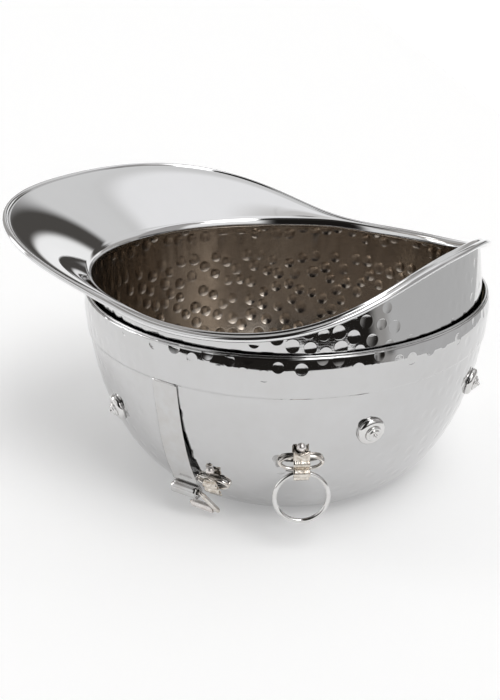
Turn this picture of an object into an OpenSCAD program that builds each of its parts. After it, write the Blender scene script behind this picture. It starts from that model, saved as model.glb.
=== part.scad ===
// Hammered champagne bucket in the form of an upturned riding helmet.
// Origin: centre of the flat crown it stands on. +X points to the peak, +Z up.

/* [Bowl] */
// Length of the outer shell, peak side to back
bowl_l = 330; // [260:1:400]
// Width of the outer shell
bowl_w = 326; // [260:1:400]
// Height of the outer shell's rim above the table
bowl_h = 152; // [120:1:185]
// How far the plan is drawn out towards the peak
egg = 7.5; // [0:0.5:12]
// Radius of the flat crown that the bucket stands on
crown_r = 88; // [60:1:105]
// Thickness of the outer shell
shell_t = 1.2; // [1:0.1:2.5]
// Thickness of the inner bowl
bowl_t = 1.2; // [1:0.1:2.5]
// Air gap between the inner bowl and the outer shell
air_gap = 4.2; // [3:0.1:7]
// How far the top of the outer shell leans in
rim_lean = 1.8; // [0.5:0.1:2.5]

/* [Mouth and brim] */
// Height of the mouth at the front and sides
mouth_h = 164; // [155:0.5:190]
// How much higher the mouth is at the back
back_rise = 42; // [10:1:60]
// Half-angle over which the back rises
back_spread = 44; // [30:1:60]
// Inset of the mouth from the plan of the outer shell
mouth_inset = 6.5; // [5:0.5:12]
// Lean of the wall inwards, per millimetre that it rises
wall_lean = 0.15; // [0:0.01:0.3]
// Width of the brim at the sides and back
brim_w = 10; // [8:0.5:16]
// Extra width of the brim at the peak
peak_w = 68; // [20:1:90]
// Height that the peak's edge rises over the mouth
peak_rise = 47.5; // [20:0.5:70]
// Half-angle that the peak takes up
peak_spread = 55.5; // [40:0.5:70]
// Thickness of the brim
brim_t = 1.6; // [1.2:0.1:2.5]
// Radius of the bead wire along the brim's edge
bead_r = 2.4; // [1.8:0.1:3.5]

/* [Harness] */
// Height of the band round the top of the shell
band_h = 31; // [18:1:40]
// Thickness of the band
band_t = 1; // [0.5:0.1:1.5]
// Width of the cheek strap
strap_w = 23; // [16:1:30]
// Thickness of the cheek strap
strap_t = 1; // [0.8:0.1:2]
// Distance that the strap's lower end stands off the shell
strap_lift = 5; // [3.5:0.5:8]
// Height of the strap's rolled end above the table
roll_z = 24; // [22:1:34]
// Radius of the strap's rolled end
roll_r = 5.5; // [4.5:0.1:7]
// Radius of the buckle loop's wire
loop_r = 1.5; // [1.2:0.1:2]
// Drop from the loop's upper bar to its lower bar
loop_drop = 15; // [13:0.5:16]
// How far the loop hangs in towards the shell
loop_in = 8; // [5:0.5:10]
// How far the loop is slanted sideways
loop_skew = 10; // [0:0.5:12]
// Radius of the roller on the loop's lower bar
roller_r = 3; // [2.6:0.1:4]
// Length of the roller
roller_l = 20; // [14:0.5:21]

/* [Ring hangers] */
// Angle from the peak to the ring's hanger
ring_angle = 126; // [115:1:135]
// Height of the ring's hanger above the table
ring_z = 67; // [62:1:80]
// Angle from the peak to the hanger beside the strap
keeper_angle = 97.3; // [96.5:0.1:104]
// Height of the hanger beside the strap
keeper_z = 37; // [36:1:52]
// Radius of the ring to the middle of its wire
ring_r = 19.4; // [14:0.1:20]
// Radius of the ring's wire
ring_wire_r = 1.75; // [1.4:0.05:2]
// Width of the folded hanger plate
plate_w = 12; // [9:0.5:14]
// Thickness of the hanger plate
plate_t = 1.4; // [1:0.1:2]
// Overall width of the ring's oval staple
staple_w = 34; // [28:1:38]
// Overall width of the shorter staple beside the strap
keeper_w = 29; // [25:1:32]
// Overall height of the oval staples
staple_h = 12.5; // [11:0.5:14]
// Radius of the staple's wire
staple_r = 1.5; // [1.2:0.1:1.8]
// Radius of the round rivet head
ball_r = 3.5; // [2.5:0.1:4]

/* [Studs] */
// Radius of a stud's dished base
stud_r = 11; // [8:0.5:14]
// Radius of the stepped boss on it
boss_r = 6.3; // [4.5:0.1:7]
// Radius of the shank that fixes it
shank_r = 1.6; // [1.2:0.1:2]

/* [Hidden] */

$fn = 48;
STEP = 5;                    // degrees between the facets of the shells
ANGLES = [0:STEP:355];
FIT = 0.1;                   // running clearance of pins and rollers
TOUCH = 0.05;                // hairline between pieces that are soldered face to face
NICKEL = [0.80, 0.80, 0.81];
BRIGHT = [0.88, 0.88, 0.89];
WARM = [0.62, 0.58, 0.52];

wall_h = bowl_h - shell_t / 2; // height at which the curved wall ends and its rounded edge begins
rim_z = wall_h - 11;         // height at which the top of the shell begins to lean in
rim_power = 1.3;             // how early in its height it leans
band_z = wall_h - band_h;
band_gap = 0.2;              // clears the shell's facets
brim_crown = 1.5;            // how far the brim's section is domed

// Each stud: angle from the peak, height. The far side repeats the near side by half a turn.
STUD_PLACES = [[61, 48.4], [146, 32.4], [194, 32.4]]; // angle, drop below the band's edge
STUDS = [for (s = STUD_PLACES) [s[0], band_z - s[1]]];

// ---- shape of the helmet ---------------------------------------------------------------

// A smooth hump: 1 in the middle, falling to nothing beyond the spread
function bell(a, spread, power) = exp(-pow(abs(a) / spread, power));
function off_peak(a) = abs((a + 180) % 360 - 180);
function off_back(a) = 180 - off_peak(a);

// Plan of the outer shell at an angle from the peak
function plan(a) = [bowl_l / 2 * cos(a) + egg * cos(2 * a), bowl_w / 2 * sin(a)];
// The same, scaled by k and then drawn inwards
function inset(a, k, d) = plan(a) * (k - d / norm(plan(a)));
function ring(k, d, z) = [for (a = ANGLES) let (p = inset(a, k, d)) [p.x, p.y, z]];

// The wall is a quarter of an ellipse from the flat crown to the rim
crown_k = crown_r / (bowl_l / 2);
function wall_k(t) = crown_k + (1 - crown_k) * sin(t);
function wall_z(t) = wall_h * (1 - cos(t));
function wall_t(z) = acos(1 - min(z, wall_h) / wall_h);
function rim_in(z) = rim_lean * pow(max(0, z - rim_z) / (wall_h - rim_z), rim_power);
// Outward normal of the wall's profile, as [across, up]
function wall_n(t) = let (n = [wall_h * sin(t), -bowl_l / 2 * (1 - crown_k) * cos(t)]) n / norm(n);
// Ring of points at a depth d inside the wall's outer face
function wall_ring(t, d) =
    ring(wall_k(t), d * wall_n(t)[0] + rim_in(wall_z(t)), wall_z(t) - d * wall_n(t)[1]);

// Height of the mouth, and its inset from the plan
function mouth_z(a) = mouth_h + back_rise * bell(off_back(a), back_spread, 2.35);
function mouth_d(a) = mouth_inset + wall_lean * (mouth_z(a) - mouth_h);
// Width and rise of the brim
function brim_width(a) = brim_w + peak_w * bell(off_peak(a), peak_spread, 4.6);
function brim_rise(a) = peak_rise * bell(off_peak(a), peak_spread + 0.5, 3.5) - 1.7;

// Place and facing of a fitting on the shell
function turn_at(a) = let (d = plan(a + 0.5) - plan(a - 0.5)) atan2(d.y, d.x) - 180;
function wall_at(a, z) = let (p = inset(a, wall_k(wall_t(z)), 0)) [p.x, p.y, z];
function tilt_at(z) = asin(-wall_n(wall_t(z))[1]);

// Carries a fitting drawn with +Y outwards and +Z up to its place on the shell.
// Laid flat, it leans back square to the sloping wall; otherwise it stays upright.
module on_shell(a, z, flat = true) translate(wall_at(a, z))
    rotate([0, 0, turn_at(a)]) rotate([flat ? -tilt_at(z) : 0, 0, 0]) children();

// ---- solids from rings of points -------------------------------------------------------

COUNT = 360 / STEP;
function corner(j, i) = j * COUNT + i % COUNT;
// Triangles that join each ring to the next one
function skin(rings, closed) = let (n = len(rings)) [
    for (j = [0:n - (closed ? 1 : 2)], i = [0:COUNT - 1])
        each [[corner(j, i), corner((j + 1) % n, i), corner(j, i + 1)],
              [corner(j, i + 1), corner((j + 1) % n, i), corner((j + 1) % n, i + 1)]]];

// Cup: its first ring is closed underneath and its last ring is closed inside
module cup(rings) {
    last = len(rings) - 1;
    polyhedron([for (r = rings) each r],
        concat(skin(rings, false), [[for (i = [0:COUNT - 1]) i]],
            [[for (i = [COUNT - 1:-1:0]) corner(last, i)]]), convexity = 8);
}

// Hoop: the rings close on themselves round a section
module hoop(rings) polyhedron([for (r = rings) each r], skin(rings, true), convexity = 8);

// Bar along X, centred
module bar_x(l, r) rotate([0, 90, 0]) cylinder(h = l, r = r, center = true);
// Round bar between two points
module rod(p, q, r) {
    d = q - p;
    translate(p) rotate([0, acos(d.z / norm(d)), atan2(d.y, d.x)]) cylinder(h = norm(d), r = r);
}

// ---- shells ----------------------------------------------------------------------------

module outer_shell() color(NICKEL) cup(concat(
    [ring(crown_k, 0, 0)],
    [for (t = [6:6:90]) wall_ring(t, 0)],
    [for (t = [45:45:135]) let (r = shell_t / 2)
        ring(1, rim_lean + r * (1 - cos(t)), wall_h + r * sin(t))],
    [for (t = [90:-6:6]) wall_ring(t, shell_t)],
    [ring(crown_k, 0, shell_t)]));

// The inner bowl follows the shell up to its rim, then goes on to the wavy mouth
liner_d = shell_t + air_gap;
LINER_TURNS = [6:6:78];
function leaning_ring(k, d) = [for (a = ANGLES) let (
        foot = inset(a, 1, liner_d + d), top = inset(a, 1, mouth_d(a) - bowl_t + d),
        p = foot + (top - foot) * k, top_z = mouth_z(a) - brim_t - TOUCH)
    [p.x, p.y, wall_h + (top_z - wall_h) * k]];

module inner_bowl() color(WARM) cup(concat(
    [ring(crown_k, 0, liner_d)],
    [for (t = LINER_TURNS) wall_ring(t, liner_d)],
    [for (k = [0:0.25:1]) leaning_ring(k, 0)],
    [for (k = [1:-0.25:0]) leaning_ring(k, bowl_t)],
    [for (t = [78:-6:6]) wall_ring(t, liner_d + bowl_t)],
    [ring(crown_k, 0, liner_d + bowl_t)]));

// Hoop of strip that holds the two walls apart, hidden below the rim
module rim_spacer() color(NICKEL) hoop([
    wall_ring(72, shell_t + TOUCH), wall_ring(78, shell_t + TOUCH),
    wall_ring(78, liner_d - TOUCH), wall_ring(72, liner_d - TOUCH)]);

// Disc between the two flat crowns
module crown_spacer() color(NICKEL)
    translate([0, 0, shell_t]) cylinder(h = air_gap, r = crown_r / 3);

// Band that lies on the shell under its rim
band_top = wall_h - 0.6;
BAND_TURNS = [for (k = [0, 0.3, 0.6, 0.8, 0.9, 1]) wall_t(band_z + (band_top - band_z) * k)];
module harness_band() color(BRIGHT) hoop(concat(
    [for (t = BAND_TURNS) wall_ring(t, -band_gap - band_t)],
    [for (i = [len(BAND_TURNS) - 1:-1:0]) wall_ring(BAND_TURNS[i], -band_gap)]));

// ---- brim ------------------------------------------------------------------------------

// Rise of the brim from the mouth (0) to the bead (1): a steep inner bevel, then flatter
function brim_profile(s) = 0.7 * s + 0.3 * sin(90 * s);
function brim_ring(s, drop) = [for (a = ANGLES) let (
        w = brim_width(a) - 2 * bead_r, p = inset(a, 1, mouth_d(a) - s * w))
    [p.x, p.y, mouth_z(a) + brim_rise(a) * brim_profile(s) + brim_crown * sin(180 * s) - drop]];

BRIM_STEPS = [0, 0.12, 0.3, 0.5, 0.75, 1];
module brim() color(BRIGHT) hoop(concat(
    [for (i = [0:5]) brim_ring(BRIM_STEPS[i], brim_t)],
    [for (i = [5:-1:0]) brim_ring(BRIM_STEPS[i], 0)]));

function bead_ring(t) = [for (a = ANGLES) let (
        w = brim_width(a) - bead_r, p = inset(a, 1, mouth_d(a) - w - (bead_r - TOUCH) * cos(t)))
    [p.x, p.y, mouth_z(a) + brim_rise(a) - brim_t / 2 + bead_r * sin(t)]];
module brim_bead() color(BRIGHT) hoop([for (t = [0:30:330]) bead_ring(t)]);

// ---- cheek straps and buckle loops -----------------------------------------------------

// The strap hangs in the plane across the bowl; these give its outline there
strap_top = band_z - 0.3;
strap_drop = strap_top - roll_z;
function strap_share(z) = (strap_top - z) / strap_drop;
function strap_gap(z) = band_gap + (strap_lift - band_gap) * sin(90 * pow(strap_share(z), 2));
function strap_y(z) = wall_at(90, z).y + strap_gap(z);
roll_y = strap_y(roll_z) + strap_t / 2 + roll_r;
STRAP_ZS = [for (k = [0:0.05:1]) roll_z + strap_drop * k];

module strap() color(NICKEL) difference() {
    union() {
        rotate([90, 0, 90]) translate([0, 0, -strap_w / 2]) linear_extrude(strap_w) polygon(concat(
            [for (z = STRAP_ZS) [strap_y(z), z]],
            [for (i = [len(STRAP_ZS) - 1:-1:0]) [strap_y(STRAP_ZS[i]) + strap_t, STRAP_ZS[i]]]));
        translate([0, roll_y, roll_z]) bar_x(strap_w, roll_r);
    }
    translate([0, roll_y, roll_z]) bar_x(strap_w + 2, loop_r + FIT);
}

// Open link: its upper bar turns in the strap's rolled end, its lower bar carries a roller
// and a thick arm joins the two at one end
arm_r = loop_r + 0.5;
corner_r = loop_r + 0.7;
module buckle_loop() color(BRIGHT) {
    arm = [-(strap_w / 2 + corner_r + 0.5), 0, 0];
    upper = [0, roll_y, roll_z];
    lower = upper + [-loop_skew, -loop_in, -loop_drop];
    free_end = [roller_l / 2 + corner_r, 0, 0];
    rod(upper + arm, upper - arm, loop_r);
    rod(lower + arm, lower + free_end, loop_r);
    rod(upper + arm, lower + arm, arm_r);
    for (p = [upper + arm, lower + arm]) translate(p) sphere(corner_r);
}

module buckle_roller() color(NICKEL)
    translate([-loop_skew, roll_y - loop_in, roll_z - loop_drop]) difference() {
        bar_x(roller_l, roller_r);
        bar_x(roller_l + 2, loop_r + FIT);
    }

// Angle of the point that lies half a turn from the one at angle a, on the egg-shaped plan
function opposite(a) = 180 + acos(cos(a) + 4 * egg * cos(2 * a) / bowl_l);

// ---- staples, hangers and rings --------------------------------------------------------

// How far the shell falls back over half the width of a fitting
function fall(half_w) = half_w * half_w / bowl_l;

// Depths of a hanger's pieces, outwards from the wall
staple_y = staple_r + 1.2;
plate_y = staple_y + staple_r + 0.3;
knuckle_bore = ring_wire_r + pow(plate_w / 2, 2) / (4 * ring_r) + 0.2;
knuckle_r = knuckle_bore + 0.8;
knuckle_y = plate_y + knuckle_r;
KNUCKLE_Z = -6;              // the knuckle, the plate's ends and the rivet, from the staple's middle
PLATE_LOW = -13;
PLATE_HIGH = 11;
RIVET_UP = 12.5;

// Oval wire link, soldered to the shell by a peg at each end
module staple(width = staple_w) color(BRIGHT) {
    bow = staple_h / 2 - staple_r;
    reach = width / 2 - staple_h / 2;
    peg = width / 2 - staple_r;
    for (s = [-1, 1]) {
        translate([0, staple_y, s * bow]) bar_x(2 * reach, staple_r);
        translate([s * reach, staple_y, 0]) rotate([90, 0, 0]) rotate([0, 0, -90 * s])
            rotate_extrude(angle = 180) translate([bow, 0]) circle(staple_r);
        translate([s * peg, staple_y, 0]) rotate([90, 0, 0])
            cylinder(h = staple_y + fall(peg) + 0.3, r = staple_r);
    }
}

// Folded strip with a swallow-tailed top and a fold over the staple. Under that it has a
// knuckle for a ring, or only a second fold where there is no ring.
fold_r = 1.9;
module hanger(knuckle = true) color(NICKEL) difference() {
    union() {
        translate([-plate_w / 2, plate_y, PLATE_LOW]) cube([plate_w, plate_t, PLATE_HIGH - PLATE_LOW]);
        translate([0, plate_y + plate_t, 0]) bar_x(plate_w, fold_r);
        if (knuckle) translate([0, knuckle_y, KNUCKLE_Z]) bar_x(plate_w, knuckle_r);
        else translate([0, plate_y + plate_t, KNUCKLE_Z]) bar_x(plate_w, fold_r);
    }
    if (knuckle) translate([0, knuckle_y, KNUCKLE_Z]) bar_x(plate_w + 2, knuckle_bore);
    translate([0, plate_y - 1, PLATE_HIGH]) rotate([-90, 0, 0]) linear_extrude(plate_t + 2)
        polygon([[0.6 - plate_w / 2, -1], [plate_w / 2 - 0.6, -1], [plate_w / 2 - 0.6, 0], [0, 4.5],
            [0.6 - plate_w / 2, 0]]);
}

// Round ring hanging in the knuckle
ring_drop = ring_r - pow(plate_w / 2, 2) / (4 * ring_r);
module loose_ring() color(BRIGHT)
    translate([0, knuckle_y, KNUCKLE_Z - ring_drop]) rotate([90, 0, 0])
        rotate_extrude($fn = 96) translate([ring_r, 0]) circle(ring_wire_r);

// Round-headed rivet over each swallow tail
module ball_rivet() rotate([-90, 0, 0]) {
    rotate_extrude() intersection() {
        circle(ball_r);
        translate([0, TOUCH]) square(ball_r);
    }
    translate([0, 0, -shell_t - 1]) cylinder(h = shell_t + 1 + TOUCH, r = 1.2);
}
module hanger_rivets() color(BRIGHT) {
    for (a = [ring_angle, ring_angle + 180]) on_shell(a, ring_z + RIVET_UP) ball_rivet();
    for (a = [keeper_angle, opposite(keeper_angle)])
        on_shell(a, keeper_z + RIVET_UP * cos(tilt_at(keeper_z))) ball_rivet();
}

// Beside the strap a shorter staple and its strip lie closer to the shell, under the strap's edge
keeper_sunk = 0.8;
module at_keeper(a) on_shell(a, keeper_z) translate([0, -keeper_sunk, 0]) children();

// ---- studs -----------------------------------------------------------------------------

base_h = 4.2;                // heights of the stud's base, of the boss on it and of its point
boss_h = 2.8;
nipple_h = 1.5;
edge_h = 0.7;
module at_studs() for (s = STUDS, far = [0, 180])
    on_shell(s[0] + far, s[1]) rotate([-90, 0, 0]) children();

module stud_bases() color(BRIGHT) at_studs() rotate_extrude() difference() {
    polygon(concat([[shank_r + TOUCH, TOUCH], [stud_r, TOUCH]],
        [for (t = [0:15:90]) [boss_r + (stud_r - boss_r) * cos(t), edge_h + (base_h - edge_h) * sin(t)]],
        [[shank_r + TOUCH, base_h]]));
    translate([boss_r + 0.1, base_h]) circle(0.4);
}

module stud_bosses() color(BRIGHT) at_studs() translate([0, 0, base_h + TOUCH]) rotate_extrude()
    polygon(concat([[0, 0], [boss_r - 0.4, 0]],
        [for (t = [0:18:90]) [boss_r / 2 + (boss_r / 2 - 0.4) * cos(t), edge_h + (boss_h - edge_h) * sin(t)]],
        [for (t = [0:30:90]) [shank_r * cos(t), boss_h + nipple_h * sin(t)]]));

// Shank through the shell, peened over a washer in the air gap
module stud_shanks() color(NICKEL) at_studs() {
    translate([0, 0, -shell_t - 1]) cylinder(h = shell_t + 1 + base_h, r = shank_r);
    translate([0, 0, -shell_t - 1.4]) cylinder(h = 1, r = shank_r + 1.6);
}

// ---- assembly --------------------------------------------------------------------------

module half_turn() rotate([0, 0, 180]) children();

outer_shell();
inner_bowl();
rim_spacer();
crown_spacer();
harness_band();
brim();
brim_bead();
strap();  // strap_near
half_turn() strap();  // strap_far
buckle_loop();  // buckle_loop_near
half_turn() buckle_loop();  // buckle_loop_far
buckle_roller();  // buckle_roller_near
half_turn() buckle_roller();  // buckle_roller_far
at_keeper(keeper_angle) staple(keeper_w);  // keeper_staple_near
at_keeper(opposite(keeper_angle)) staple(keeper_w);  // keeper_staple_far
at_keeper(keeper_angle) hanger(false);  // keeper_hanger_near
at_keeper(opposite(keeper_angle)) hanger(false);  // keeper_hanger_far
on_shell(ring_angle, ring_z, false) staple();  // ring_staple_near
on_shell(ring_angle + 180, ring_z, false) staple();  // ring_staple_far
on_shell(ring_angle, ring_z, false) hanger();  // ring_hanger_near
on_shell(ring_angle + 180, ring_z, false) hanger();  // ring_hanger_far
on_shell(ring_angle, ring_z, false) loose_ring();  // ring_near
on_shell(ring_angle + 180, ring_z, false) loose_ring();  // ring_far
hanger_rivets();
stud_bases();
stud_bosses();
stud_shanks();
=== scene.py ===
import math

import bpy
import numpy as np
from mathutils import Matrix, Vector
from mathutils.kdtree import KDTree


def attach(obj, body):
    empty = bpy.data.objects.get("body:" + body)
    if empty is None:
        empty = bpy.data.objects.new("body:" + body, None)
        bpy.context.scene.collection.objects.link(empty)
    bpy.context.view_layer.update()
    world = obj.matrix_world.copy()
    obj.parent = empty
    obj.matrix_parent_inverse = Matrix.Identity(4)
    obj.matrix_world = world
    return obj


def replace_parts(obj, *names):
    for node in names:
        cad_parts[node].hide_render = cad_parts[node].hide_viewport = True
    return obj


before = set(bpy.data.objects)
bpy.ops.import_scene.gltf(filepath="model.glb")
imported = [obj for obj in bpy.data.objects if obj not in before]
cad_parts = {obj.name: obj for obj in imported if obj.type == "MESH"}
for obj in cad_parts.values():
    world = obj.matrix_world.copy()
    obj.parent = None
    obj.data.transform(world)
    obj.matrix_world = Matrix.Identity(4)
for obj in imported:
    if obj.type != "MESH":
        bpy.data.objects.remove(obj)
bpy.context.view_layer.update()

# ==== Outer shell =========================================================================
# The round crown of the helmet, which the bucket stands on: brass sheet sunk over a stake,
# struck all over with a ball hammer, leaned in a little at the rim and nickel plated.
# Lengths are millimetres until a mesh is made; angles run from the peak, which is at +X.

MM = 0.001
BOWL_L, BOWL_W, BOWL_H = 330.0, 326.0, 152.0
EGG = 7.5
CROWN_K = 88.0 / 165.0
SHELL_T = 1.2
WALL_H = BOWL_H - SHELL_T / 2
RIM_LEAN, RIM_DROP = 1.8, 11.0
COLS = 600
ROUND = np.arange(COLS) * 360.0 / COLS


def plan(a):
    r = np.radians(a)
    return np.stack([BOWL_L / 2 * np.cos(r) + EGG * np.cos(2 * r), BOWL_W / 2 * np.sin(r)], -1)


def inset(a, k, d):
    p = plan(a)
    return p * (k - d / np.linalg.norm(p, axis=-1))[..., None]


def level(a, k, d, z):
    """Ring of points round the bowl at plan scale k, drawn in by d, at height z."""
    flat = np.zeros_like(a)
    return np.concatenate([inset(a, k, flat + d), (flat + z)[..., None]], -1)


def wall_k(t):
    return CROWN_K + (1 - CROWN_K) * math.sin(t)


def wall_z(t):
    return WALL_H * (1 - math.cos(t))


def wall_turn(z):
    return math.acos(1 - min(z, WALL_H) / WALL_H)


def wall_n(t):
    n = np.array([WALL_H * math.sin(t), -BOWL_L / 2 * (1 - CROWN_K) * math.cos(t)])
    return n / np.linalg.norm(n)


def rim_in(z):
    return RIM_LEAN * (max(0.0, z - WALL_H + RIM_DROP) / RIM_DROP) ** 1.3


def wall_level(a, t, d):
    """Ring of points at a depth d inside the shell's outer face."""
    n = wall_n(t)
    return level(a, wall_k(t), d * n[0] + rim_in(wall_z(t)), wall_z(t) - d * n[1])


def mesh_piece(name, verts, faces, body="bucket"):
    """Makes a smooth mesh piece from points in millimetres and rides it on a body."""
    mesh = bpy.data.meshes.new(name)
    mesh.from_pydata((np.asarray(verts, float) * MM).tolist(), [], faces)
    mesh.update()
    mesh.polygons.foreach_set("use_smooth", [True] * len(mesh.polygons))
    obj = bpy.data.objects.new(name, mesh)
    bpy.context.scene.collection.objects.link(obj)
    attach(obj, body)
    return obj


def ring_faces(rows, cols, closed=False, caps=True):
    """Quads that join rows of points, each row a closed ring, with the two ends filled."""
    j, i = np.meshgrid(np.arange(rows if closed else rows - 1), np.arange(cols), indexing="ij")
    here, there = j * cols, (j + 1) % rows * cols
    after = (i + 1) % cols
    faces = np.stack([here + i, here + after, there + after, there + i], -1).reshape(-1, 4).tolist()
    if caps and not closed:
        faces.append(list(range(cols - 1, -1, -1)))
        faces.append(list(range((rows - 1) * cols, rows * cols)))
    return faces


def ring_piece(name, rings, body="bucket", closed=False):
    """Piece lofted through rings of points."""
    rings = np.asarray(rings)
    rows, cols = rings.shape[:2]
    return mesh_piece(name, rings.reshape(-1, 3), ring_faces(rows, cols, closed), body)


def strike(rings, zones):
    """Strikes a face with round hammer blows, laid at random but never closer than they were
    struck. Each zone is (first row, last row, least distance, radius, depth, seed). Gives
    the dished rings, and for each corner of each quad its place across the nearest blow."""
    rings = rings.copy()
    rows, cols = rings.shape[:2]
    along = np.roll(rings, -1, 1) - np.roll(rings, 1, 1)
    upward = np.gradient(rings, axis=0)
    along /= np.maximum(np.linalg.norm(along, axis=2, keepdims=True), 1e-9)
    normal = np.cross(along, upward)
    normal /= np.maximum(np.linalg.norm(normal, axis=2, keepdims=True), 1e-9)
    girth = np.linalg.norm(np.roll(rings, -1, 1) - rings, axis=2).sum(1)
    rise = np.linalg.norm(upward, axis=2).mean(1)
    corners = np.zeros((rows, cols, 4, 3))
    corners[..., :2] = 3.0
    above = np.roll(rings, -1, 0)
    face = np.stack([rings, np.roll(rings, -1, 1), np.roll(above, -1, 1), above], 2)
    dished = rings.copy()
    for first, last, apart, radius, depth, seed in zones:
        rng = np.random.default_rng(seed)
        area = (girth * rise)[first:last]
        tries = int(10 * area.sum() / apart ** 2)
        at = (rng.choice(np.arange(first, last), tries, p=area / area.sum()), rng.integers(0, cols, tries))
        spots = rings[at]
        kept, places, count = [], np.zeros((tries, 3)), 0
        for n, spot in enumerate(spots):
            if count == 0 or ((places[:count] - spot) ** 2).sum(1).min() > apart ** 2:
                places[count] = spot
                count += 1
                kept.append(n)
        size = radius * rng.uniform(0.86, 1.08, count)
        force = rng.uniform(0.55, 1.15, count)
        tree = KDTree(count)
        for n in range(count):
            tree.insert(places[n], n)
        tree.balance()
        middle = face[first:last].mean(2)
        near = np.array([[tree.find(q)[1] for q in row] for row in middle])
        own = near[..., None]
        away = face[first:last] - places[own]
        side_way, up_way = along[at][kept], np.cross(normal[at], along[at])[kept]
        corners[first:last, :, :, 0] = (away * side_way[own]).sum(-1) / size[own]
        corners[first:last, :, :, 1] = (away * up_way[own]).sum(-1) / size[own]
        corners[first:last, :, :, 2] = force[own]
        off = rings[first:last] - places[near]
        dish = np.maximum(0.0, 1.0 - (off ** 2).sum(-1) / size[near] ** 2) * force[near]
        dished[first:last] -= normal[first:last] * (dish * depth * 0.4)[..., None]
    return dished, corners[:-1].reshape(-1, 3)


def mark(obj, corners):
    """Stores the places across the blows on a piece, for its material."""
    field = obj.data.attributes.new("blow", "FLOAT_VECTOR", "CORNER")
    values = np.zeros((len(obj.data.loops), 3), np.float32)
    values[:, :2] = 3.0
    values[:len(corners)] = corners
    field.data.foreach_set("vector", values.ravel())


def group_tree(name, inputs, outputs):
    tree = bpy.data.node_groups.new(name, "ShaderNodeTree")
    for label, value in inputs:
        s = tree.interface.new_socket(label, in_out="INPUT", socket_type="NodeSocketFloat")
        s.default_value = value
    for label in outputs:
        tree.interface.new_socket(label, in_out="OUTPUT", socket_type="NodeSocketFloat")
    return tree, tree.nodes.new("NodeGroupInput"), tree.nodes.new("NodeGroupOutput")


def hand_polish():
    """Marks of hand polishing: soft clouding, fine scratches, and their relief."""
    tree, given, out = group_tree("hand_polish", [("Cloud Scale", 60.0), ("Scratch Scale", 1.0)],
                                  ["Cloud", "Scratch", "Height"])
    link = tree.links.new
    where = tree.nodes.new("ShaderNodeTexCoord")
    cloud = tree.nodes.new("ShaderNodeTexNoise")
    cloud.inputs["Detail"].default_value = 4.0
    cloud.inputs["Roughness"].default_value = 0.6
    link(where.outputs["Object"], cloud.inputs["Vector"])
    link(given.outputs["Cloud Scale"], cloud.inputs["Scale"])
    stretch = tree.nodes.new("ShaderNodeMapping")
    stretch.inputs["Scale"].default_value = (90.0, 90.0, 1400.0)
    stretch.inputs["Rotation"].default_value = (0.25, 0.15, 0.0)
    scratch = tree.nodes.new("ShaderNodeTexNoise")
    scratch.inputs["Detail"].default_value = 3.0
    link(given.outputs["Scratch Scale"], scratch.inputs["Scale"])
    link(where.outputs["Object"], stretch.inputs["Vector"])
    link(stretch.outputs["Vector"], scratch.inputs["Vector"])
    relief = tree.nodes.new("ShaderNodeMath")
    relief.operation = "MULTIPLY_ADD"
    relief.inputs[1].default_value = 0.15
    link(scratch.outputs["Fac"], relief.inputs[0])
    link(cloud.outputs["Fac"], relief.inputs[2])
    link(cloud.outputs["Fac"], out.inputs["Cloud"])
    link(scratch.outputs["Fac"], out.inputs["Scratch"])
    link(relief.outputs["Value"], out.inputs["Height"])
    return tree


HAND_POLISH = hand_polish()


def hammer_blow():
    """Section of a ball hammer's blow: a round dish with a fine raised lip. Hollow is 1 in
    the middle of a blow and 0 outside it."""
    tree, given, out = group_tree("hammer_blow", [], ["Hollow", "Height"])
    link = tree.links.new

    def sum_of(operation, *values, clamp=False):
        node = tree.nodes.new("ShaderNodeMath")
        node.operation = operation
        node.use_clamp = clamp
        for socket, value in zip(node.inputs, values):
            if isinstance(value, (int, float)):
                socket.default_value = value
            else:
                link(value, socket)
        return node.outputs["Value"]

    place = tree.nodes.new("ShaderNodeAttribute")
    place.attribute_name = "blow"
    split = tree.nodes.new("ShaderNodeSeparateXYZ")
    link(place.outputs["Vector"], split.inputs["Vector"])
    x, y, force = split.outputs["X"], split.outputs["Y"], split.outputs["Z"]
    square = sum_of("ADD", sum_of("MULTIPLY", x, x), sum_of("MULTIPLY", y, y))
    hollow = sum_of("SUBTRACT", 1.0, square, clamp=True)
    past_edge = sum_of("DIVIDE", sum_of("SUBTRACT", sum_of("SQRT", square), 1.06), 0.13)
    lip = sum_of("EXPONENT", sum_of("MULTIPLY", sum_of("MULTIPLY", past_edge, past_edge), -1.0))
    height = sum_of("SUBTRACT", sum_of("MULTIPLY", lip, 0.10), hollow)
    link(sum_of("MULTIPLY", hollow, force), out.inputs["Hollow"])
    link(sum_of("MULTIPLY", height, force), out.inputs["Height"])
    return tree


HAMMER_BLOW = hammer_blow()


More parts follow.
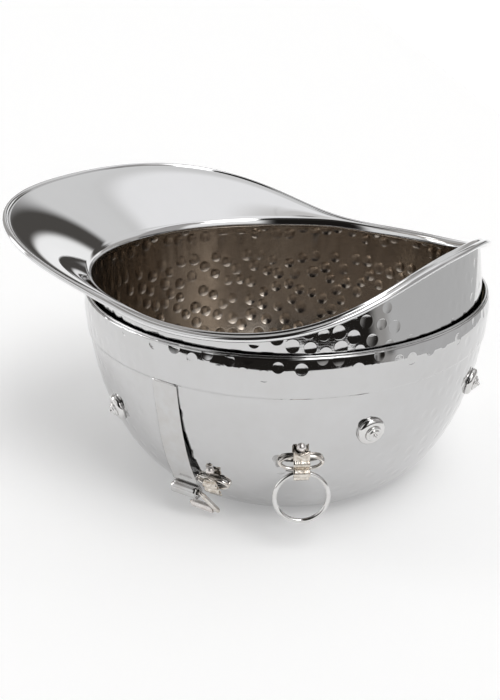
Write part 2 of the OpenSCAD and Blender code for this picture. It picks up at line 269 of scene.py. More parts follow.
def nickel(name, bright, tarnish, rough, tarnish_share, relief, cloud_scale, blow_depth=0.0, in_hollows=0.0):
    """Nickel plate: bright metal with some tarnish, mixed by the clouding and, on hammered
    faces, by how deep a point lies. rough is the least and the greatest roughness."""
    mat = bpy.data.materials.new(name)
    mat.use_nodes = True
    tree = mat.node_tree
    link = tree.links.new
    face = tree.nodes["Principled BSDF"]
    face.inputs["Metallic"].default_value = 1.0
    polish = tree.nodes.new("ShaderNodeGroup")
    polish.node_tree = HAND_POLISH
    polish.inputs["Cloud Scale"].default_value = cloud_scale
    spread = tree.nodes.new("ShaderNodeMapRange")
    spread.inputs["From Min"].default_value = 0.3
    spread.inputs["From Max"].default_value = 0.7
    spread.inputs["To Min"].default_value = rough[0]
    spread.inputs["To Max"].default_value = rough[1]
    link(polish.outputs["Cloud"], spread.inputs["Value"])
    link(spread.outputs["Result"], face.inputs["Roughness"])
    amount = tree.nodes.new("ShaderNodeMapRange")
    amount.inputs["From Min"].default_value = 0.35
    amount.inputs["From Max"].default_value = 0.75
    amount.inputs["To Max"].default_value = tarnish_share
    link(polish.outputs["Cloud"], amount.inputs["Value"])
    share = amount.outputs["Result"]
    bump = tree.nodes.new("ShaderNodeBump")
    bump.inputs["Strength"].default_value = relief
    bump.inputs["Distance"].default_value = 0.0004
    link(polish.outputs["Height"], bump.inputs["Height"])
    link(bump.outputs["Normal"], face.inputs["Normal"])
    if blow_depth:
        deep = tree.nodes.new("ShaderNodeGroup")
        deep.node_tree = HAMMER_BLOW
        struck = tree.nodes.new("ShaderNodeBump")
        struck.inputs["Strength"].default_value = 1.0
        struck.inputs["Distance"].default_value = blow_depth * MM
        link(deep.outputs["Height"], struck.inputs["Height"])
        link(struck.outputs["Normal"], bump.inputs["Normal"])
        both = tree.nodes.new("ShaderNodeMath")
        both.operation = "MULTIPLY_ADD"
        both.use_clamp = True
        both.inputs[1].default_value = in_hollows
        link(deep.outputs["Hollow"], both.inputs[0])
        link(share, both.inputs[2])
        share = both.outputs["Value"]
    tint = tree.nodes.new("ShaderNodeMix")
    tint.data_type = "RGBA"
    tint.inputs["A"].default_value = (*bright, 1.0)
    tint.inputs["B"].default_value = (*tarnish, 1.0)
    link(share, tint.inputs["Factor"])
    link(tint.outputs["Result"], face.inputs["Base Color"])
    return mat


def dress(obj, mat):
    obj.data.materials.clear()
    obj.data.materials.append(mat)
    return obj


SHELL_PLATE = nickel("nickel_shell", (0.60, 0.60, 0.602), (0.56, 0.555, 0.55), (0.03, 0.07), 0.5,
                     0.12, 45.0, 0.22, 0.10)

shell_rings = [level(ROUND, k, 0.0, 0.0) for k in np.linspace(0.02, CROWN_K, 20)]
shell_rings += [wall_level(ROUND, t, 0.0) for t in np.radians(np.linspace(0, 90, 104)[1:])]
face_rows = len(shell_rings)
for t in np.radians([30, 60, 90, 120, 150]):
    drawn_in = RIM_LEAN + SHELL_T / 2 * (1 - math.cos(t))
    shell_rings.append(level(ROUND, 1.0, drawn_in, WALL_H + SHELL_T / 2 * math.sin(t)))
shell_rings += [wall_level(ROUND, t, SHELL_T) for t in np.radians(np.linspace(90, 4, 20))]
shell_rings += [level(ROUND, CROWN_K, 0.0, SHELL_T), level(ROUND, 0.02, 0.0, SHELL_T)]
shell_rings, shell_blows = strike(np.array(shell_rings), [(6, face_rows - 1, 11.0, 4.6, 0.34, 3)])
outer_shell = ring_piece("outer_shell_hammered", shell_rings)
mark(outer_shell, shell_blows)
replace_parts(dress(outer_shell, SHELL_PLATE), "outer_shell")

# ==== Inner bowl ==========================================================================
# A second sheet inside the first. Its inside is struck in deep round blows and left satin
# and a little brown, and its colour is darkened further as painted shade of the deep bowl;
# its wall rises past the shell's rim to the wavy mouth, where it is hammered and polished outside as well.

BOWL_T, AIR_GAP = 1.2, 4.2
LINER_D = SHELL_T + AIR_GAP
MOUTH_H, BACK_RISE, BACK_SPREAD = 164.0, 42.0, 44.0
MOUTH_INSET, WALL_LEAN = 6.5, 0.15
BRIM_T = 1.6


def bell(a, spread, power):
    return np.exp(-np.power(np.abs(a) / spread, power))


def off_peak(a):
    return np.abs((a + 180.0) % 360.0 - 180.0)


def mouth_z(a):
    return MOUTH_H + BACK_RISE * bell(180.0 - off_peak(a), BACK_SPREAD, 2.35)


def mouth_d(a):
    return MOUTH_INSET + WALL_LEAN * (mouth_z(a) - MOUTH_H)


def leaning_level(a, k, d):
    foot = inset(a, 1.0, np.zeros_like(a) + LINER_D + d)
    top = inset(a, 1.0, mouth_d(a) - BOWL_T + d)
    z = WALL_H + (mouth_z(a) - BRIM_T - 0.05 - WALL_H) * k
    return np.concatenate([foot + (top - foot) * k, z[:, None]], -1)


# The inside's colours are set much darker than the wall's nickel: painted shade of the deep bowl, on top of
# its brown tone.
INSIDE_PLATE_PAINTED_SHADE = nickel("nickel_inside_painted_shade", (0.46, 0.41, 0.355), (0.30, 0.25, 0.205), (0.15, 0.26), 0.7,
                    0.3, 60.0, 0.55, 0.30)
WALL_PLATE = nickel("nickel_wall", (0.62, 0.62, 0.62), (0.58, 0.575, 0.57), (0.03, 0.06), 0.4,
                    0.10, 45.0, 0.13, 0.08)

bowl_rings = [level(ROUND, 0.02, 0.0, LINER_D), level(ROUND, CROWN_K, 0.0, LINER_D)]
bowl_rings += [wall_level(ROUND, t, LINER_D) for t in np.radians(np.linspace(6, 74, 8))]
wall_row = len(bowl_rings)
bowl_rings += [wall_level(ROUND, t, LINER_D) for t in np.radians([76, 79, 82])]
bowl_rings += [leaning_level(ROUND, k, 0.0) for k in np.linspace(0, 1, 24)]
mouth_row = len(bowl_rings)
bowl_rings += [leaning_level(ROUND, k, BOWL_T) for k in np.linspace(1, 0, 20)]
bowl_rings += [wall_level(ROUND, t, LINER_D + BOWL_T) for t in np.radians(np.linspace(82, 2, 80))]
bowl_rings += [level(ROUND, k, 0.0, LINER_D + BOWL_T) for k in np.linspace(CROWN_K, 0.02, 16)]
bowl_rings, bowl_blows = strike(np.array(bowl_rings), [
    (wall_row, mouth_row - 4, 10.8, 4.6, 0.26, 11), (mouth_row + 4, len(bowl_rings) - 2, 10.6, 5.2, 0.90, 5)])
inner_bowl = ring_piece("inner_bowl_hammered", bowl_rings)
mark(inner_bowl, bowl_blows)
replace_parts(dress(inner_bowl, INSIDE_PLATE_PAINTED_SHADE), "inner_bowl")
inner_bowl.data.materials.append(WALL_PLATE)
outside_faces = mouth_row * COLS
inner_bowl.data.polygons.foreach_set(
    "material_index", [1 if i < outside_faces else 0 for i in range(len(inner_bowl.data.polygons))])

# ==== Spacers =============================================================================
# Hoop and disc of brass strip soldered between the two walls, out of sight.

SOLDERED_BRASS = nickel("soldered_brass", (0.78, 0.66, 0.42), (0.50, 0.40, 0.26), (0.3, 0.5), 0.8, 0.4, 90.0)
for node in ("rim_spacer", "crown_spacer"):
    dress(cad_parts[node], SOLDERED_BRASS)

# ==== Harness band ========================================================================
# Thin strip laid round the shell under its rim and hammered down with it, so that only its
# lower edge shows, as a fine line.

BAND_H, BAND_T, BAND_GAP = 31.0, 1.0, 0.2
BAND_Z = WALL_H - BAND_H
BAND_TOP = WALL_H - 0.6

BAND_SET_IN = 0.08  # keeps the smooth sheet inside the faceted one
band_rings = [wall_level(ROUND, wall_turn(z), -BAND_GAP - BAND_T + BAND_SET_IN)
              for z in np.linspace(BAND_Z, BAND_TOP, 24)]
band_rings += [wall_level(ROUND, wall_turn(z), -BAND_GAP) for z in np.linspace(BAND_TOP, BAND_Z, 5)]
band_rings, band_blows = strike(np.array(band_rings), [(1, 23, 11.0, 4.6, 0.36, 21)])
harness_band = ring_piece("harness_band_hammered", band_rings, closed=True)
mark(harness_band, band_blows)
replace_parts(dress(harness_band, SHELL_PLATE), "harness_band")

# ==== Brim ================================================================================
# Smooth sheet soldered round the mouth and mirror polished, turned down a little into the
# bowl, drawn out at the front into the long peak, with its edge rolled round a wire.

BRIM_W, PEAK_W, PEAK_RISE, PEAK_SPREAD = 10.0, 68.0, 47.5, 55.5
BEAD_R, BRIM_CROWN = 2.4, 1.5


def brim_width(a):
    return BRIM_W + PEAK_W * bell(off_peak(a), PEAK_SPREAD, 4.6)


def brim_rise(a):
    return PEAK_RISE * bell(off_peak(a), PEAK_SPREAD + 0.5, 3.5) - 1.7


ROLL_OUT, ROLL_IN, ROLL_DOWN = 3.2, 1.2, 8.0


def brim_level(a, s, drop):
    w = brim_width(a) - 2 * BEAD_R
    z = mouth_z(a) + brim_rise(a) * (0.7 * s + 0.3 * np.sin(math.pi / 2 * s))
    z = z + BRIM_CROWN * np.sin(math.pi * s) - drop
    return np.concatenate([inset(a, 1.0, mouth_d(a) - s * w), z[:, None]], -1)


def turned_level(a, t, drop=0.0):
    """Ring on the rounded corner where the brim turns down into the bowl."""
    s = ROLL_OUT / (brim_width(a) - 2 * BEAD_R)
    z = brim_level(a, s, 0.0)[:, 2] - (ROLL_DOWN - drop) * (1 - math.sin(t)) - drop
    reach = (ROLL_OUT + ROLL_IN - drop) * math.cos(t)
    return np.concatenate([inset(a, 1.0, mouth_d(a) - ROLL_OUT + reach), z[:, None]], -1)


BRIM_PLATE = nickel("nickel_mirror", (0.75, 0.75, 0.755), (0.70, 0.70, 0.70), (0.02, 0.05), 0.5, 0.03, 14.0)

turn_at_s = ROLL_OUT / (brim_width(ROUND) - 2 * BEAD_R)
brim_rings = [brim_level(ROUND, 1 - u * (1 - turn_at_s), 0.0) for u in np.linspace(0, 1, 34)]
brim_rings += [turned_level(ROUND, t) for t in np.radians([80, 70, 60, 50, 40, 30, 20, 10, 0])]
brim_rings += [turned_level(ROUND, t, 1.1) for t in np.radians([0, 30, 60, 80])]
brim_rings += [brim_level(ROUND, turn_at_s + u * (1 - turn_at_s), BRIM_T) for u in np.linspace(0, 1, 12)]
brim = ring_piece("brim_sheet", brim_rings, closed=True)
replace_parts(dress(brim, BRIM_PLATE), "brim")

BEAD_SET_IN = 0.08  # keeps the round wire inside the faceted one
bead_rings = []
for t in np.radians(np.arange(0, 360, 15)):
    out = brim_width(ROUND) - BEAD_SET_IN - BEAD_R + BEAD_R * math.cos(t)
    z = mouth_z(ROUND) + brim_rise(ROUND) - BRIM_T / 2 + BEAD_R * math.sin(t)
    bead_rings.append(np.concatenate([inset(ROUND, 1.0, mouth_d(ROUND) - out), z[:, None]], -1))
brim_bead = ring_piece("brim_bead_wire", bead_rings, closed=True)
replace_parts(dress(brim_bead, BRIM_PLATE), "brim_bead")

# ==== Cheek straps ========================================================================
# On each side a strip continues from the band, lies on the shell and lifts off it lower
# down, then is folded and rolled up at its end round the bar of the buckle link.

STRAP_W, STRAP_T, STRAP_LIFT = 23.0, 1.0, 5.0
ROLL_Z, ROLL_R = 24.0, 5.5
SIDES = (("near", 1), ("far", -1))
STRAP_PLATE = nickel("nickel_strap", (0.60, 0.60, 0.60), (0.53, 0.51, 0.49), (0.05, 0.14), 0.7, 0.2, 90.0)


def wall_y(x, z):
    """How far out the shell's wall lies at a place across the bowl."""
    a = np.linspace(80, 100, 81)
    p = plan(a) * wall_k(wall_turn(z))
    return float(np.interp(-x, -p[:, 0], p[:, 1]))


def strap_gap(z):
    fallen = (BAND_Z - z) / (BAND_Z - ROLL_Z)
    return BAND_GAP + (STRAP_LIFT - BAND_GAP) * math.sin(math.pi / 2 * fallen ** 2)


def strap_y(z):
    return plan(np.array([90.0]))[0, 1] * wall_k(wall_turn(z)) + strap_gap(z)


ROLL_Y = strap_y(ROLL_Z) + STRAP_T / 2 + ROLL_R


def strap_path():
    """Middle line of the strip as (height up, outwards), with how round it lies in plan."""
    points = []
    for z in np.linspace(BAND_Z, ROLL_Z + 1.0, 60):
        curve = min(1.0, max(0.0, (z - ROLL_Z - 25.0) / 40.0))
        fold = 1.5 * math.exp(-((z - ROLL_Z - 8.2) / 2.0) ** 2)
        points.append((strap_y(z) + STRAP_T / 2 + fold, z, curve))
    for turn in np.linspace(0, 2.3 * 2 * math.pi, 90):
        r = ROLL_R - STRAP_T / 2 - 0.52 * turn / math.pi
        points.append((ROLL_Y - r * math.cos(turn), ROLL_Z - r * math.sin(turn), 0.0))
    return np.array(points)


def strip_piece(name, path, width, thick, place, body, edge=0.35, columns=9):
    """Strip of sheet that follows a path in its own upright plane, with rounded edges.
    place(x, y, z, row) gives the point in the row frame."""
    mid = path[:, :2]
    step = np.gradient(mid, axis=0)
    step /= np.linalg.norm(step, axis=1, keepdims=True)
    out = np.stack([-step[:, 1], step[:, 0]], -1)
    half = thick / 2
    xs = np.linspace(-1, 1, columns) * (width / 2 - edge)
    section = [(x, half) for x in xs] + [(width / 2, half - edge), (width / 2, edge - half)]
    section += [(x, -half) for x in xs[::-1]] + [(-width / 2, edge - half), (-width / 2, half - edge)]
    rings = []
    for i, (m, n) in enumerate(zip(mid, out)):
        rings.append([place(x, m[0] + n[0] * h, m[1] + n[1] * h, i) for x, h in section])
    return ring_piece(name, np.array(rings), body)


STRAP_PATH = strap_path()
for side, sign in SIDES:
    def on_side(x, y, z, row, sign=sign):
        curve = STRAP_PATH[row, 2]
        bend = (wall_y(sign * x, min(z, WALL_H)) - wall_y(0.0, min(z, WALL_H))) * curve if curve else 0.0
        return (sign * x, sign * (y + bend), z)

    strap = strip_piece(f"cheek_strap_{side}", STRAP_PATH, STRAP_W, STRAP_T, on_side, "bucket")
    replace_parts(dress(strap, STRAP_PLATE), f"strap_{side}")

# ==== Buckle links ========================================================================
# An open link of thick wire turns in each strap's rolled end and carries a loose roller of
# bent tube on its lower bar.

LOOP_R, LOOP_DROP, LOOP_IN, LOOP_SKEW = 1.5, 15.0, 8.0, 10.0
ROLLER_R, ROLLER_L = 3.0, 20.0
FITTING_PLATE = nickel("nickel_fittings", (0.84, 0.82, 0.79), (0.55, 0.49, 0.43),
                       (0.10, 0.26), 0.9, 0.35, 260.0)
SATIN_PLATE = nickel("nickel_satin", (0.86, 0.83, 0.81), (0.66, 0.60, 0.56),
                     (0.24, 0.36), 0.8, 0.35, 220.0)


def tube(name, path, radii, body, closed=False, around=20, place=None):
    """Round bar along a path; radii gives its half-width at each point, in its two directions."""
    path = np.asarray(path, float)
    ahead = np.roll(path, -1, 0) - np.roll(path, 1, 0) if closed else np.gradient(path, axis=0)
    ahead /= np.linalg.norm(ahead, axis=1, keepdims=True)
    side = np.cross(ahead[0], (0.0, 1.0, 0.0))
    if np.linalg.norm(side) < 0.2:
        side = np.cross(ahead[0], (1.0, 0.0, 0.0))
    rings = []
    for p, t, r in zip(path, ahead, radii):
        side = side - t * np.dot(side, t)
        side /= np.linalg.norm(side)
        up = np.cross(t, side)
        turn = np.linspace(0, 2 * math.pi, around, endpoint=False)
        rings.append(p + np.outer(np.cos(turn) * r[0], side) + np.outer(np.sin(turn) * r[1], up))
    rings = np.array(rings)
    if place is not None:
        rings = np.array([[place(*p) for p in ring] for ring in rings])
    return ring_piece(name, rings, body, closed)


def smooth_path(points, closed=False, each=6):
    """Rounds a path of a few points off into a curve."""
    p = np.asarray(points, float)
    n = len(p)
    out = []
    for i in range(n if closed else n - 1):
        a, b, c, d = (p[(i + k) % n] if closed else p[min(max(i + k, 0), n - 1)] for k in (-1, 0, 1, 2))
        for t in np.arange(each) / each:
            out.append(0.5 * (2 * b + (c - a) * t + (2 * a - 5 * b + 4 * c - d) * t * t
                              + (3 * b - a - 3 * c + d) * t ** 3))
    if not closed:
        out.append(p[-1])
    return np.array(out)


def lathe(name, profile, place, body, around=64, closed=False):
    """Turned piece: profile is (radius, height) from the base up, place maps its points."""
    rings = []
    for r, h in profile:
        turn = np.linspace(0, 2 * math.pi, around, endpoint=False)
        rings.append([place(r * math.cos(t), h, r * math.sin(t)) for t in turn])
    return ring_piece(name, np.array(rings), body, closed)


ARM_X = -(STRAP_W / 2 + LOOP_R + 0.7 + 0.5)
for side, sign in SIDES:
    def from_roll(x, y, z, sign=sign):
        return (sign * x, sign * (ROLL_Y + y), ROLL_Z + z)

    low = np.array([-LOOP_SKEW, -LOOP_IN, -LOOP_DROP])
    arm = np.array([ARM_X, 0.0, 0.0])
    free_end = np.array([ROLLER_L / 2 + LOOP_R + 0.7, 0.0, 0.0])
    corners = [-arm, -arm * 0.4, arm * 0.75, arm + (0.2, 0, 0), arm + low * 0.12, arm + low * 0.5,
               arm + low * 0.88, arm + low + (0.2, 0, 0), low + arm * 0.75, low, low + free_end]
    path = smooth_path(corners, each=8)
    thick = [LOOP_R + 0.55 * math.exp(-((i / len(path) - 0.5) / 0.16) ** 4) for i in range(len(path))]
    link = tube(f"buckle_link_{side}", path, [(r, r) for r in thick], f"loop_{side}", place=from_roll)
    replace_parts(dress(link, FITTING_PLATE), f"buckle_loop_{side}")

    half, bore = ROLLER_L / 2, LOOP_R + 0.1
    profile = [(bore, -half + 0.4), (bore + 0.5, -half), (ROLLER_R - 0.5, -half), (ROLLER_R, -half + 0.5)]
    profile += [(ROLLER_R - 0.12 * math.exp(-(h / 2.5) ** 2), h)
                for h in np.linspace(-half + 1, half - 1, 12)]
    profile += [(ROLLER_R, half - 0.5), (ROLLER_R - 0.5, half), (bore + 0.5, half), (bore, half - 0.4)]
    roller = lathe(f"buckle_roller_tube_{side}", profile,
                   lambda x, h, z: from_roll(h + low[0], x + low[1], z + low[2]), f"roller_{side}", 40, True)
    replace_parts(dress(roller, SATIN_PLATE), f"buckle_roller_{side}")

# ==== Staples, hangers and rivets =========================================================
# A link of flattened wire is soldered to the shell, and a strip with a swallow-tailed top
# is folded over it. Under the ring's staple the strip curls out into a knuckle. A round
# rivet head sits in each swallow tail.

KEEPER_ANGLE, KEEPER_Z = 97.3, 37.0
KEEPER_W, KEEPER_SUNK = 29.0, 0.8
RING_ANGLE, RING_Z = 126.0, 67.0
PLATE_W, PLATE_T = 12.0, 1.4
LEG_T = 0.7
STAPLE_W, STAPLE_H, STAPLE_R = 34.0, 12.5, 1.5
RING_R, RING_WIRE_R, BALL_R = 19.4, 1.75, 3.5
STAPLE_Y = STAPLE_R + 1.2
PLATE_Y = STAPLE_Y + STAPLE_R + 0.3
KNUCKLE_R = RING_WIRE_R + (PLATE_W / 2) ** 2 / (4 * RING_R) + 1.0
KNUCKLE_Y = PLATE_Y + KNUCKLE_R
KNUCKLE_Z = -6.0
RIVET_UP = 12.5


def opposite(a):
    r = math.radians(a)
    return 180.0 + math.degrees(math.acos(math.cos(r) + 4 * EGG * math.cos(2 * r) / BOWL_L))


def on_shell(a, z, flat=True, sunk=0.0):
    """Carries a fitting drawn with +Y outwards and +Z up to its place on the shell."""
    p = plan(np.array([a]))[0] * wall_k(wall_turn(z))
    d = plan(np.array([a + 0.5]))[0] - plan(np.array([a - 0.5]))[0]
    turn = math.atan2(d[1], d[0]) - math.pi
    tilt = math.asin(-wall_n(wall_turn(z))[1]) if flat else 0.0
    m = Matrix.Translation((p[0], p[1], z)) @ Matrix.Rotation(turn, 4, "Z") @ Matrix.Rotation(-tilt, 4, "X")
    return lambda x, y, z: tuple(m @ Vector((x, y - sunk, z)))


def staple_piece(name, place, width):
    reach, bow = width / 2 - STAPLE_R, STAPLE_H / 2 - STAPLE_R
    bend = [(0, bow), (reach * 0.36, bow), (reach * 0.68, bow * 0.86), (reach * 0.92, bow * 0.42), (reach, 0)]
    loop = bend + [(x, -z) for x, z in bend[-2::-1]]
    loop += [(-x, -z) for x, z in bend[1:]] + [(-x, z) for x, z in bend[-2:0:-1]]
    path = smooth_path([(x, STAPLE_Y + 0.4 * math.cos(x / 9.0) - 0.4, z) for x, z in loop], True, 5)
    wire = [(STAPLE_R * 0.92, STAPLE_R * 1.0)] * len(path)
    return tube(name, path, wire, "bucket", True, 18, place)


def peg_piece(name, place, x):
    deep = -(x * x / BOWL_L) - 0.2
    path = [(x, y, 0.0) for y in np.linspace(deep, STAPLE_Y - 0.4, 6)]
    return tube(name, path, [(STAPLE_R + 0.5 * (1 - i / 5) ** 2, STAPLE_R + 0.5 * (1 - i / 5) ** 2)
                             for i in range(6)], "bucket", False, 16, place)


def hanger_path(knuckle):
    """Middle line of the folded strip, from its swallow tail down."""
    mid = PLATE_Y + PLATE_T / 2
    points = [(mid + 2.3, 11.0), (mid + 1.3, 9.0), (mid + 0.5, 6.4), (mid + 0.1, 4.0), (mid + 0.3, 2.6),
              (mid + 1.5, 1.6), (mid + 2.1, 0.2), (mid + 1.6, -1.4), (mid + 0.6, -2.4)]
    if knuckle:
        r = KNUCKLE_R - PLATE_T / 2
        points += [(KNUCKLE_Y + r * math.cos(t), KNUCKLE_Z + r * math.sin(t))
                   for t in np.radians([128, 100, 70, 40, 10, -20, -50, -80, -110, -140, -165])]
    else:
        points += [(mid + 1.0, -3.4), (mid + 1.9, -4.6), (mid + 2.1, -6.0), (mid + 1.6, -7.4),
                   (mid + 0.5, -8.6)]
    return smooth_path([(y, z) for y, z in points], each=4)


def hanger_piece(name, place, knuckle):
    path = hanger_path(knuckle)
    low, high = 6.5, 11.0

    def cut(x, y, z, row):
        notch = min(1.0, abs(x) / (PLATE_W / 2 - 0.6))
        if z > low:
            z = low + (z - low) * (0.02 + 0.98 * notch)
            y = y - (path[row][0] - PLATE_Y - PLATE_T / 2) * (1 - notch) * 0.7
        return place(x, y, z)

    return strip_piece(name, path, PLATE_W, PLATE_T, cut, "bucket", 0.3, 13)


def leg_piece(name, place):
    path = np.array([(PLATE_Y + LEG_T / 2 + 0.1, z) for z in np.linspace(4.0, -13.0, 18)])
    return strip_piece(name, path, PLATE_W - 0.6, LEG_T,
                       lambda x, y, z, row: place(x, y, z), "bucket")


def rivet_piece(name, place):
    profile = [(0.05, 0.05), (BALL_R, 0.05)]
    profile += [(BALL_R * math.cos(t), BALL_R * 0.94 * math.sin(t)) for t in np.radians(np.arange(8, 89, 10))]
    return lathe(name, profile, place, "bucket", 40)


HANGER_PLATE = nickel("nickel_hanger", (0.82, 0.78, 0.72), (0.40, 0.33, 0.26), (0.08, 0.2), 1.0, 0.4, 330.0)
units = [("ring", "near", RING_ANGLE, RING_Z, False), ("ring", "far", RING_ANGLE + 180, RING_Z, False),
         ("keeper", "near", KEEPER_ANGLE, KEEPER_Z, True),
         ("keeper", "far", opposite(KEEPER_ANGLE), KEEPER_Z, True)]
rivets = []
for kind, side, angle, z, flat in units:
    width, sunk = (KEEPER_W, KEEPER_SUNK) if flat else (STAPLE_W, 0.0)
    place = on_shell(angle, z, flat, sunk)
    staple = staple_piece(f"{kind}_staple_link_{side}", place, width)
    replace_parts(dress(staple, FITTING_PLATE), f"{kind}_staple_{side}")
    for end, sign in (("a", 1), ("b", -1)):
        peg = peg_piece(f"{kind}_staple_peg_{side}_{end}", place, sign * (width / 2 - STAPLE_R))
        dress(peg, FITTING_PLATE)
    hanger = hanger_piece(f"{kind}_hanger_strip_{side}", place, kind == "ring")
    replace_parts(dress(hanger, HANGER_PLATE), f"{kind}_hanger_{side}")
    leg = leg_piece(f"{kind}_hanger_leg_{side}", place)
    dress(leg, HANGER_PLATE)
    up = RIVET_UP if not flat else RIVET_UP * math.cos(math.asin(-wall_n(wall_turn(z))[1]))
    rivet = rivet_piece(f"{kind}_rivet_head_{side}", on_shell(angle, z + up))
    dress(rivet, SATIN_PLATE)
    rivets.append(rivet)
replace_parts(rivets[0], "hanger_rivets")

# ==== Rings ===============================================================================
# Plain round rings of thick wire, loose in the hangers' knuckles.

RING_PLATE = nickel("nickel_ring", (0.74, 0.735, 0.73), (0.62, 0.60, 0.58), (0.04, 0.12), 0.6, 0.15, 180.0)
RING_DROP = RING_R - (PLATE_W / 2) ** 2 / (4 * RING_R)
for side, angle in (("near", RING_ANGLE), ("far", RING_ANGLE + 180)):
    place = on_shell(angle, RING_Z, False)
    path = [(RING_R * math.cos(t), KNUCKLE_Y, KNUCKLE_Z - RING_DROP + RING_R * math.sin(t))
            for t in np.linspace(0, 2 * math.pi, 120, endpoint=False)]
    wire = [(RING_WIRE_R, RING_WIRE_R)] * len(path)
    ring = tube(f"loose_ring_{side}", path, wire, f"ring_{side}", True, 24, place)
    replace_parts(dress(ring, RING_PLATE), f"ring_{side}")

# ==== Studs ===============================================================================
# Turned studs: a domed base, a smaller boss on it and a pointed nipple with a pin hole,
# fixed by a shank that is peened over inside the wall.

STUDS = [(61, 72), (146, 88), (194, 88)]
STUD_R, BOSS_R, BASE_H, BOSS_H, NIPPLE_H, STUD_EDGE = 11.0, 6.3, 4.2, 2.8, 1.5, 0.7
NIPPLE_R = 1.6


def quarter(r_out, r_in, h_low, h_high, n=10):
    return [(r_in + (r_out - r_in) * math.cos(t), h_low + (h_high - h_low) * math.sin(t))
            for t in np.linspace(0, math.pi / 2, n)]


stud_base_profile = [(0.1, 0.05), (STUD_R, 0.05)] + quarter(STUD_R, BOSS_R + 0.5, STUD_EDGE, BASE_H, 14)
stud_base_profile += [(BOSS_R + 0.2, BASE_H - 0.05), (BOSS_R, BASE_H - 0.35),
                      (BOSS_R - 0.4, BASE_H - 0.3), (0.1, BASE_H - 0.3)]
stud_boss_profile = [(0.1, BASE_H - 0.2), (BOSS_R - 0.4, BASE_H - 0.2)]
stud_boss_profile += quarter(BOSS_R - 0.3, BOSS_R * 0.72, BASE_H + 0.3, BASE_H + BOSS_H * 0.5, 7)
stud_boss_profile += quarter(BOSS_R * 0.70, NIPPLE_R + 0.6, BASE_H + BOSS_H * 0.5, BASE_H + BOSS_H, 8)
stud_boss_profile += [(NIPPLE_R + 0.3, BASE_H + BOSS_H - 0.1)]
stud_boss_profile += quarter(NIPPLE_R, 0.6, BASE_H + BOSS_H, BASE_H + BOSS_H + NIPPLE_H, 7)
stud_boss_profile += [(0.4, BASE_H + BOSS_H + NIPPLE_H - 0.4), (0.05, BASE_H + BOSS_H + NIPPLE_H - 0.8)]
bases, bosses = [], []
for far in (0, 180):
    for i, (angle, z) in enumerate(STUDS):
        place = on_shell(angle + far, z)
        tag = f"{'far' if far else 'near'}_{i + 1}"
        bases.append(lathe(f"stud_base_turned_{tag}", stud_base_profile, place, "bucket"))
        bosses.append(lathe(f"stud_boss_turned_{tag}", stud_boss_profile, place, "bucket"))
for piece in bases + bosses:
    dress(piece, RING_PLATE)
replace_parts(bases[0], "stud_bases")
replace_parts(bosses[0], "stud_bosses")
dress(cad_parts["stud_shanks"], SOLDERED_BRASS)

# ==== Floor, light and camera =============================================================
# A plain pale floor in a white studio with a soft key light over the viewer's shoulder.

AZ, EL = math.radians(125.16), math.radians(21.14)
FRONT_EDGE, RIGHT_EDGE = 0.78, 0.55
bpy.ops.mesh.primitive_plane_add(size=1.0)
floor = bpy.context.object
floor.name = "studio_floor"
floor.scale = (24.0, 12.0, 1.0)
floor.rotation_euler = (0, 0, AZ)
floor.location = (Vector((math.cos(AZ), math.sin(AZ), 0)) * (FRONT_EDGE - 12.0)
                  + Vector((-math.sin(AZ), math.cos(AZ), 0)) * (RIGHT_EDGE - 6.0) + Vector((0, 0, -0.0002)))
paper = bpy.data.materials.new("pale_lit_acrylic")
paper.use_nodes = True
pale = paper.node_tree.nodes["Principled BSDF"]
pale.inputs["Base Color"].default_value = (0.88, 0.88, 0.88, 1)
pale.inputs["Roughness"].default_value = 0.9
pale.inputs["Emission Color"].default_value = (1, 1, 1, 1)
pale.inputs["Emission Strength"].default_value = 0.20
pale.inputs["Specular IOR Level"].default_value = 0.0
dress(floor, paper)

world = bpy.data.worlds.new("studio")
bpy.context.scene.world = world
world.use_nodes = True
sky = world.node_tree


def sum_node(operation, first, second=None, third=None):
    node = sky.nodes.new("ShaderNodeMath")
    node.operation = operation
    for socket, value in zip(node.inputs, (first, second, third)):
        if isinstance(value, (int, float)):
            socket.default_value = value
        elif value is not None:
            sky.links.new(value, socket)
    return node.outputs["Value"]


def soft_edge(value, inner, outer):
    node = sky.nodes.new("ShaderNodeMapRange")
    node.interpolation_type = "SMOOTHSTEP"
    node.inputs["From Min"].default_value = outer
    node.inputs["From Max"].default_value = inner
    sky.links.new(value, node.inputs["Value"])
    return node.outputs["Result"]


coord = sky.nodes.new("ShaderNodeTexCoord")
split = sky.nodes.new("ShaderNodeSeparateXYZ")
sky.links.new(coord.outputs["Generated"], split.inputs["Vector"])
round_about = sum_node("MULTIPLY", sum_node("ARCTAN2", split.outputs["Y"], split.outputs["X"]), 180 / math.pi)
up_angle = sum_node("MULTIPLY", sum_node("ARCSINE", split.outputs["Z"]), 180 / math.pi)

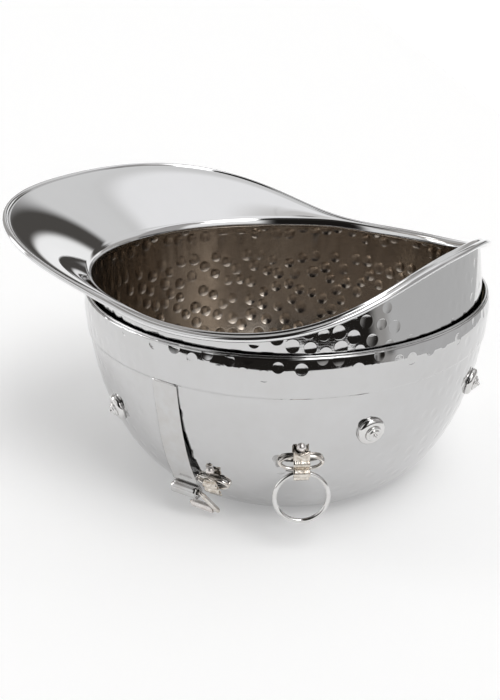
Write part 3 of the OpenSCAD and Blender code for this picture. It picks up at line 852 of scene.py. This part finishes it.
# Walls, screens and soft boxes of the studio: which way (degrees from the viewer's side,
# left negative), how wide, how high (middle and height), softness of the edge, brightness.
SCREENS = [
    ("walls", 0, 360, 0, 180, 1, (0.42, 0.41, 0.40)),
    ("ceiling", 0, 360, 88, 30, 6, (0.70, 0.69, 0.68)),
    ("back_ceiling", 150, 110, 64, 36, 7, (1.00, 1.00, 1.01)),
    ("back_wall", 150, 100, 36, 24, 5, (0.76, 0.76, 0.76)),
    ("left_back_ceiling", -135, 64, 72, 12, 6, (0.76, 0.75, 0.74)),
    ("left_back_wall", -150, 50, 50, 24, 6, (0.32, 0.31, 0.30)),
    ("right_wall", 80, 30, 26, 34, 6, (0.42, 0.41, 0.41)),
    ("dark_right_low", 78, 36, 2, 14, 3, (0.06, 0.06, 0.06)),
    ("right_front_screen", 32, 52, 25, 28, 4, (1.00, 1.00, 1.00)),
    ("dark_front", -20, 50, 20, 120, 6, (0.012, 0.011, 0.010)),
    ("dark_top_front", -30, 108, 70, 48, 6, (0.03, 0.028, 0.026)),
    ("dark_front_floor", -10, 130, -22, 50, 4, (0.02, 0.018, 0.016)),
    ("right_floor", 110, 92, -24, 50, 3, (0.62, 0.62, 0.62)),
    ("far_floor", 180, 44, -24, 48, 2, (1.0, 1.0, 1.0)),
    ("left_screen", -70, 44, 22, 40, 5, (0.85, 0.85, 0.85)),
    ("left_strip_light", -108, 20, 14, 50, 4, (2.4, 2.4, 2.4)),
    ("back_right_light", 168, 40, 4, 32, 3, (1.05, 1.05, 1.05)),
    ("back_shadow_line", 162, 34, 25, 9, 2, (0.08, 0.075, 0.07)),
    ("back_table_edge", 128, 46, 1, 7, 2, (0.05, 0.05, 0.05)),
    ("soft_box", 62, 56, 76, 24, 4, (2.6, 2.6, 2.6)),
    ("soft_box_edge", 96, 12, 60, 24, 4, (0.20, 0.20, 0.20)),
    ("front_soft_box", 32, 36, 51, 24, 4, (4.5, 4.5, 4.5)),
]
colour = None
for name, way, wide, high, tall, soft, paint in SCREENS:
    mix = sky.nodes.new("ShaderNodeMix")
    mix.name = name
    mix.data_type = "RGBA"
    mix.inputs["B"].default_value = (*paint, 1)
    if colour is not None:
        turned = sum_node("SUBTRACT", round_about, math.degrees(AZ) + way)
        across = sum_node("ABSOLUTE", sum_node("WRAP", turned, 180.0, -180.0))
        upwards = sum_node("ABSOLUTE", sum_node("SUBTRACT", up_angle, high))
        mask = sum_node("MULTIPLY", soft_edge(across, wide / 2 - soft, wide / 2 + soft),
                        soft_edge(upwards, tall / 2 - soft, tall / 2 + soft))
        sky.links.new(mask, mix.inputs["Factor"])
        sky.links.new(colour, mix.inputs["A"])
    else:
        mix.inputs["Factor"].default_value = 1.0
    colour = mix.outputs["Result"]
sky.links.new(colour, sky.nodes["Background"].inputs["Color"])
sky.nodes["Background"].inputs["Strength"].default_value = 1.0



def heading(round_by, up_by):
    level_part = math.cos(up_by)
    return Vector((math.cos(round_by) * level_part, math.sin(round_by) * level_part, math.sin(up_by)))


key = bpy.data.lights.new("key_light", "SUN")
key.energy = 0.5
key.angle = math.radians(40)
key_obj = bpy.data.objects.new("key_light", key)
bpy.context.scene.collection.objects.link(key_obj)
key_from = heading(AZ + math.radians(48), math.radians(70))
key_obj.rotation_euler = (-key_from).to_track_quat("-Z", "Y").to_euler()
key_obj.visible_glossy = False

away = heading(AZ, EL)
right = Vector((-math.sin(AZ), math.cos(AZ), 0))
camera_data = bpy.data.cameras.new("camera")
camera_data.lens = 57.826
camera_data.sensor_width = 36.0
camera = bpy.data.objects.new("camera", camera_data)
bpy.context.scene.collection.objects.link(camera)
camera.location = Vector((0, 0, 0.09336)) + right * -0.03156 + away * 0.93764
camera.rotation_euler = (-away).to_track_quat("-Z", "Y").to_euler()
bpy.context.scene.camera = camera
bpy.context.scene.view_settings.view_transform = "Standard"
